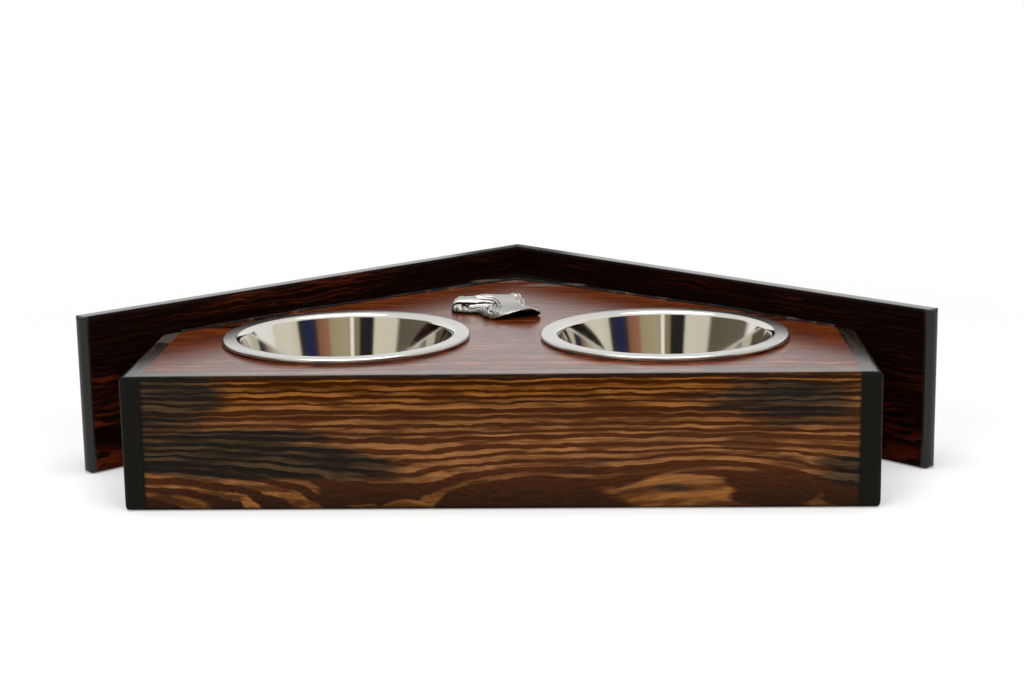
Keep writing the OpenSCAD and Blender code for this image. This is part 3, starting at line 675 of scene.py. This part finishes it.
strokes = [(-2.2, 0.6, [(-33, 5.2), (-24, 4.8), (-16, 4.4), (-8, 4.0), (-2, 4.0)]),
           (1.2, 1.1, [(-20, 1.4), (-12, 1.2), (-5, 1.0)]),
           (-1.5, 0.8, [(-20, -0.8), (-12, -1.2), (-6, -1.6)]),
           (-1.3, 0.9, [(-25, 3.2), (-22, 2.2), (-19.5, 3.0)]),
           (0.9, 1.4, [(-32, 13), (-30, 14.5), (-27, 14)]),
           (-1.4, 1.2, [(-13.4, 14.5), (-12.2, 13.8)]),
           (0.9, 1.0, [(-16.5, 13.5), (-14, 12.2), (-11, 12.6)]),
           (1.0, 0.9, [(9.5, 17), (12.5, 14.5)]), (-0.4, 0.7, [(11.5, 17.5), (14.2, 13.5)]),
           (1.2, 0.9, [(13.5, 17.5), (16.2, 12.5)]), (-0.3, 0.7, [(12.2, 12.5), (13.2, 8)]),
           (1.1, 0.9, [(14.5, 11.5), (15.2, 6)]), (-0.4, 0.7, [(16.8, 13), (17.2, 7)]),
           (1.0, 0.9, [(18.6, 12), (18.8, 5)]), (-0.3, 0.7, [(13.5, 5.5), (14.5, 1)]),
           (0.9, 0.8, [(15.5, 4), (17.5, 0)]),
           (1.3, 1.2, [(-6, -3), (-9.8, -7), (-9.6, -13), (-6, -19)]),
           (-1.9, 0.9, [(-3, -4), (-7.2, -7), (-7.2, -13), (-3.4, -19)]),
           (0.9, 1.1, [(-1, -6), (-4.4, -9), (-4.2, -14), (0, -20)]),
           (-1.2, 0.8, [(-3, -20.5), (1, -22.5), (6, -22.5)])]


def smooth(value, low, high):
    """0 up to low, 1 from high on, and a smooth passage between."""
    share = np.clip((value - low) / (high - low), 0.0, 1.0)
    return share * share * (3 - 2 * share)


def to_line(spots, a, b):
    """Distance of each spot from the straight line between a and b."""
    a, b = np.array(a, float), np.array(b, float)
    share = np.clip(((spots - a) @ (b - a)) / ((b - a) @ (b - a)), 0.0, 1.0)
    return np.linalg.norm(spots - a - share[:, None] * (b - a), axis=1)


def relief(spots):
    """Height of the modelled face over each spot and how deep it is sunk by the carving."""
    x, y = spots.T
    muzzle = 3.4 + 6.4 * smooth(y, -2.5, 11.5)
    skull = 5.2 + 5.6 * smooth(y, -2.0, 18.0) - 4.5 * smooth(x, 14.0, 22.0) * smooth(y, -1.0, 6.0)
    height = muzzle + (skull - muzzle) * (0.55 * smooth(x, -17.5, -14.5) + 0.45 * smooth(x, -15.0, -8.0))
    reach = np.hypot(np.clip(x - corner[0], 0.0, None), 0.62 * (y - corner[1] + 0.08 * (x - corner[0])))
    fold = np.exp(-((reach - 5.4) / 4.2) ** 4) * smooth(x, -18.0, -9.0) * smooth(y + 0.5 * x, -22.0, -14.0)
    groove = (0.5 - 0.5 * np.cos(2 * math.pi * (reach - 3.4) / 2.3)) ** 2.5
    carved = fold * (0.3 - 1.25 * groove)
    for depth, width, line in strokes:
        near = np.min([to_line(spots, a, b) for a, b in zip(line, line[1:])], axis=0)
        carved += depth * np.exp(-(near / width) ** 2)
    tuft = smooth(x, 2.0, 10.0) * smooth(-y, -2.0, 6.0)
    carved += 0.22 * tuft * np.sin(2 * math.pi * (x * 0.42 + 0.05 * y))
    aside, ahead = (spots - heart_of_star).T
    bearing, far = np.arctan2(ahead, aside), np.hypot(aside, ahead)
    ruff = smooth(far, 15.0, 18.0) * smooth(-bearing, 1.2, 1.5) * smooth(-bearing, 2.9, 2.6)
    carved += 0.3 * ruff * np.sin(44.0 * bearing + 0.5 * far)
    lips = smooth(-y, -3.6, -0.6) * smooth(-x, 19.0, 22.0)
    carved += 0.5 * lips * np.sin(2 * math.pi * (x + 0.4 * y) / 4.0)
    return height + carved, np.clip(-carved, 0.0, 1.0)


def curve_round(points, count):
    """A smooth closed line through points, given at even angles round the middle of the star."""
    p = np.array(points, float)
    t = np.linspace(0.0, 1.0, 24, endpoint=False)[:, None]
    bits = []
    for k in range(len(p)):
        a, b, c, d = (p[(k + j) % len(p)] for j in (-1, 0, 1, 2))
        bits.append(b + 0.5 * t * (c - a + t * (2 * a - 5 * b + 4 * c - d + t * (3 * (b - c) + d - a))))
    fine = np.concatenate(bits)
    bearing = np.unwrap(np.arctan2(fine[:, 1] - heart_of_star[1], fine[:, 0] - heart_of_star[0]))
    order = np.argsort(bearing)
    turn = 2 * math.pi
    even = np.linspace(0.0, turn, count, endpoint=False)
    reach = np.linalg.norm(fine[:, :2] - heart_of_star, axis=1)
    radius = np.interp(even, bearing[order], reach[order], period=turn)
    lift = np.interp(even, bearing[order], np.clip(fine[order, 2], 0.0, None), period=turn)
    return even, radius, lift


def make_casting():
    """The face and the underside, both as rings round one middle, joined along the outline."""
    bearing, radius, lift = curve_round(outline, spokes)
    outward = np.stack([np.cos(bearing), np.sin(bearing)], axis=1)
    points, hollow = [], []
    for ring in range(1, rings + 1):
        share = math.sin(ring / rings * math.pi / 2) ** crowding
        spots = heart_of_star + outward * (radius * share)[:, None]
        height, deep = relief(spots)
        rise = (1 - share ** edge_power) ** 0.5
        brim = brim_h * math.exp(-((share - brim_at) / brim_w) ** 2) * smooth(lift, flare_from, flare_full)
        points.append(np.column_stack([spots, lift + (height - lift) * rise + brim]))
        # Painted shade: the face is darkened towards its low edge, where it meets the board.
        painted_low_edge_shade = np.clip(0.9 - height * rise / 3.0, 0.0, 0.8) * (lift < flare_from)
        hollow.append(np.maximum(deep, painted_low_edge_shade))
    for share in (0.97, 0.90, 0.80, foot_at, 0.4):
        spots = heart_of_star + outward * (radius * share)[:, None]
        under = np.clip(lift - shell_t, 0.0, None) * max(0.0, (share - foot_at) / foot_span) ** 0.7
        points.append(np.column_stack([spots, under]))
        # Painted shade: the underside, which shows under the flared neck, is marked fully dark.
        hollow.append(np.ones(spokes))
    count = len(points)
    top = np.array([[*heart_of_star, relief(heart_of_star[None])[0][0]]])
    floor_mid = np.array([[*heart_of_star, 0.0]])
    spots = np.concatenate(points + [top, floor_mid]) * unit
    faces = []
    for k in range(spokes):
        n = (k + 1) % spokes
        faces.append((count * spokes, k, n))
        faces += [(r * spokes + k, (r + 1) * spokes + k, (r + 1) * spokes + n, r * spokes + n)
                  for r in range(count - 1)]
        faces.append((count * spokes + 1, (count - 1) * spokes + n, (count - 1) * spokes + k))
    piece = new_piece("dog_relief", spots + np.array(casting_mid), (), faces)
    depth = piece.data.attributes.new("hollow", "FLOAT", "POINT")
    depth.data.foreach_set("value", np.concatenate(hollow + [[0.0], [1.0]]).astype(np.float32))
    piece.data.shade_smooth()
    return piece


def make_cast_metal():
    """White metal, rough from the mould, darkened where the mesh marks it: patina in the recesses, and
    painted shade along the low edge and under the flared neck.
    """
    material, tree, shader = new_material("cast_metal")
    place = node(tree, "ShaderNodeTexCoord").outputs["Object"]
    deep = node(tree, "ShaderNodeAttribute", attribute_name="hollow").outputs["Fac"]
    grit = speckle(tree, place, (900.0, 900.0, 900.0), 4.0)
    cloud = speckle(tree, place, (260.0, 260.0, 260.0), 2.0)
    # The mesh's mark darkens the recesses as patina and the low edge and underside as painted shade.
    dark = ease(tree, calc(tree, "MULTIPLY_ADD", cloud, 0.35, deep), 0.30, 0.70)
    tree.links.new(blend(tree, dark, tone("adaba5"), tone("221d18")), shader.inputs["Base Color"])
    rough = ease(tree, calc(tree, "MULTIPLY_ADD", grit, 0.3, dark), 0.0, 1.2, 0.36, 0.60)
    tree.links.new(rough, shader.inputs["Roughness"])
    shader.inputs["Metallic"].default_value = 1.0
    add_bump(tree, shader, grit, 0.5, 0.0004)
    return material


dog_relief = make_casting()
dog_relief.data.materials.append(make_cast_metal())
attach(dog_relief, "stand")
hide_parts("dog_casting")

# Floor, light and camera: a white sheet under soft studio light, in a room of plain bands that only
# shiny pieces show, seen from the front and a little above.
white = (1.0, 1.0, 1.0, 1.0)
floor_mesh = bpy.data.meshes.new("floor")
floor_half, floor_z = 4.0, -0.0004
floor_corners = [(x * floor_half, y * floor_half, floor_z) for x, y in ((-1, -1), (1, -1), (1, 1), (-1, 1))]
floor_mesh.from_pydata(floor_corners, [], [(0, 1, 2, 3)])
floor = bpy.data.objects.new("floor", floor_mesh)
bpy.context.collection.objects.link(floor)
paper = bpy.data.materials.new("white_paper")
paper.use_nodes = True
tree = paper.node_tree
tree.nodes.clear()
path = node(tree, "ShaderNodeLightPath").outputs
mirrored = calc(tree, "ADD", path["Is Glossy Ray"], path["Is Transmission Ray"])
seen = calc(tree, "ADD", path["Is Camera Ray"], mirrored, clamp=True)
# The diffuse floor is tinted slightly warm as painted light: it stands for warm light thrown back from the
# wood near the object.
matt = node(tree, "ShaderNodeBsdfDiffuse", {"Color": (0.85, 0.84, 0.83, 1.0)})
glow = node(tree, "ShaderNodeEmission", {"Color": white, "Strength": 1.0})
place = node(tree, "ShaderNodeTexCoord").outputs["Object"]
away = node(tree, "ShaderNodeVectorMath", {0: place}, operation="LENGTH")
share = calc(tree, "MULTIPLY", seen, ease(tree, away.outputs["Value"], 0.25, 0.75, 0.24, 1.0))
mixed = node(tree, "ShaderNodeMixShader", {0: share, 1: matt.outputs[0], 2: glow.outputs[0]})
node(tree, "ShaderNodeOutputMaterial", {0: mixed.outputs[0]})
floor_mesh.materials.append(paper)

world = bpy.data.worlds.new("studio")
bpy.context.scene.world = world
world.use_nodes = True
tree = world.node_tree
tree.nodes.clear()
path = node(tree, "ShaderNodeLightPath").outputs
toward = node(tree, "ShaderNodeTexCoord").outputs["Generated"]
aim = node(tree, "ShaderNodeSeparateXYZ", {0: toward}).outputs
bearing = calc(tree, "ARCTAN2", aim["X"], calc(tree, "MULTIPLY", aim["Y"], -1.0))
azimuth = calc(tree, "DIVIDE", bearing, 2 * math.pi)
ramp = node(tree, "ShaderNodeValToRGB", {"Fac": calc(tree, "ADD", azimuth, 0.5)})
bands = [(-180, "ffffff"), (-112, "f9f9f8"), (-104, "6e665a"), (-58, "645c50"), (-54, "ddd8c8"),
         (-27, "dfdaca"), (-25, "201e1a"), (-18, "25252c"), (-10, "2a261e"), (-8, "8f8566"),
         (-2.5, "8c7a66"), (-1.6, "fffdf4"), (1.6, "fffdf4"), (2.5, "9c8c70"), (6, "b3a688"),
         (25, "a89a7e"), (28, "a0705a"), (40, "8a5f4a"), (43, "3a3436"), (50, "232a50"), (58, "2a2d42"),
         (63, "3a342c"), (66, "d6d0be"), (78, "e2ddcc"), (97, "e0dccd"), (101, "f6f5f2"), (180, "ffffff")]
stops = ramp.color_ramp.elements
for angle, colour in bands:
    stops.new(angle / 360 + 0.5).color = tone(colour)
stops.remove(stops[0])
stops.remove(stops[-1])
room = blend(tree, ease(tree, aim["Z"], 0.35, 0.65), ramp.outputs[0], (0.9, 0.9, 0.9, 1.0))
shine = calc(tree, "ADD", path["Is Glossy Ray"], path["Is Transmission Ray"], clamp=True)
colour = blend(tree, shine, (0.42, 0.42, 0.42, 1.0), room)
colour = blend(tree, path["Is Camera Ray"], colour, white)
sky = node(tree, "ShaderNodeBackground", {"Color": colour, "Strength": 1.0})
node(tree, "ShaderNodeOutputWorld", {0: sky.outputs[0]})


def soft_box(name, place, target, width, power):
    """A wide lamp that looks from its place at a target."""
    lamp = bpy.data.lights.new(name, "AREA")
    lamp.shape = "RECTANGLE"
    lamp.size = width
    lamp.size_y = width * 0.7
    lamp.energy = power
    box = bpy.data.objects.new(name, lamp)
    bpy.context.collection.objects.link(box)
    box.location = place
    box.rotation_euler = (Vector(target) - Vector(place)).to_track_quat("-Z", "Y").to_euler()
    return box


soft_box("overhead", (0.0, -0.2, 1.9), (0.0, 0.0, 0.0), width=1.6, power=26.0)
for side, x in (("left", -1.1), ("right", 1.1)):
    lamp = soft_box("front_" + side, (x, -1.9, 1.3), (0.0, 0.0, 0.04), width=1.2, power=21.0)
    lamp.visible_glossy = False

focal_px = 2024.7
image_w = 1024
pitch, yaw, roll = (math.radians(a) for a in (11.762, -2.202, -0.904))
eye = Vector((0.05296, -1.33738, 0.34256))
ahead = Vector((math.sin(yaw) * math.cos(pitch), math.cos(yaw) * math.cos(pitch), -math.sin(pitch)))
across = Vector((math.cos(yaw), -math.sin(yaw), 0.0))
upward = across.cross(ahead)
right = math.cos(roll) * across + math.sin(roll) * upward
upright = -math.sin(roll) * across + math.cos(roll) * upward
lens = bpy.data.cameras.new("camera")
lens.sensor_width = 36.0
lens.lens = focal_px / image_w * lens.sensor_width
lens.clip_start = 0.01
camera = bpy.data.objects.new("camera", lens)
camera.matrix_world = Matrix((
    (right.x, upright.x, -ahead.x, eye.x),
    (right.y, upright.y, -ahead.y, eye.y),
    (right.z, upright.z, -ahead.z, eye.z),
    (0.0, 0.0, 0.0, 1.0)))
bpy.context.collection.objects.link(camera)
bpy.context.scene.camera = camera
bpy.context.scene.view_settings.view_transform = "Standard"
